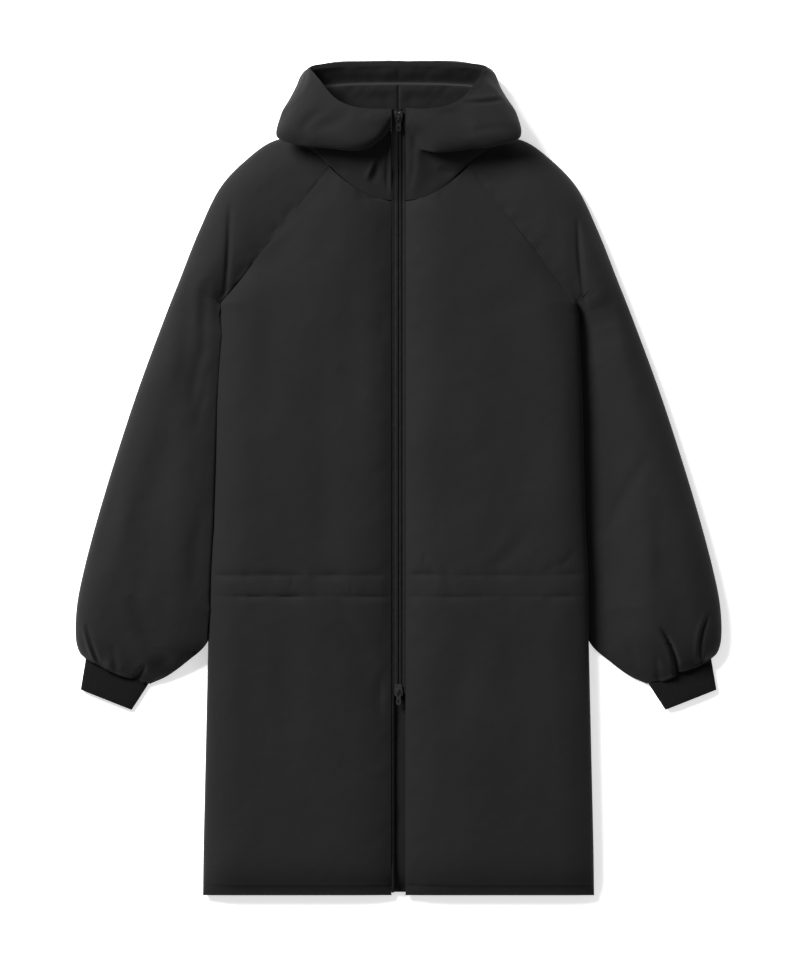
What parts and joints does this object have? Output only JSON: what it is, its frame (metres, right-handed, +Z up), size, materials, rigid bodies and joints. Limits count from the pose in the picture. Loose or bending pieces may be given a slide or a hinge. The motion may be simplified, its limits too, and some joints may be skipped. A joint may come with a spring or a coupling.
{
  "type": "parka",
  "caption": "Long hooded parka with raglan sleeves, ribbed cuffs, a drawn-in waist and a two-way zip, laid flat on its back.",
  "frame": {"origin": "under the middle of the coat's box, on the surface that it lies on", "axes": "+X towards the wearer's left side, +Y towards the hood, +Z up out of the coat's front"},
  "size_m": [0.829, 1.0702, 0.0774],
  "materials": {
    "shell_cloth": "matt, closely woven",
    "cuff_knit": "matt rib knit",
    "zip_tape": "matt woven tape",
    "zip_metal": "dark satin"
  },
  "bodies": {
    "coat": {"back": "shell_cloth", "front_left": "shell_cloth", "front_right": "shell_cloth", "sleeve_left": "shell_cloth", "sleeve_right": "shell_cloth", "cuff_left": "cuff_knit", "cuff_right": "cuff_knit", "hood_left": "shell_cloth", "hood_right": "shell_cloth", "zip_tape_left": "zip_tape", "zip_tape_right": "zip_tape", "slider_top": "zip_metal", "slider_bottom": "zip_metal"},
    "upper_pull": {"pull_top": "zip_metal"},
    "lower_pull": {"pull_bottom": "zip_metal"}
  },
  "joints": [
    {"name": "upper_pull_swing", "type": "hinge", "parent": "coat", "child": "upper_pull", "pos_m": [0, 0.45755, 0.06841], "axis": [-1, 0, 0], "range_deg": [0, 170]},
    {"name": "lower_pull_swing", "type": "hinge", "parent": "coat", "child": "lower_pull", "pos_m": [0, -0.27399, 0.02387], "axis": [-1, 0, 0], "range_deg": [0, 170]}
  ]
}
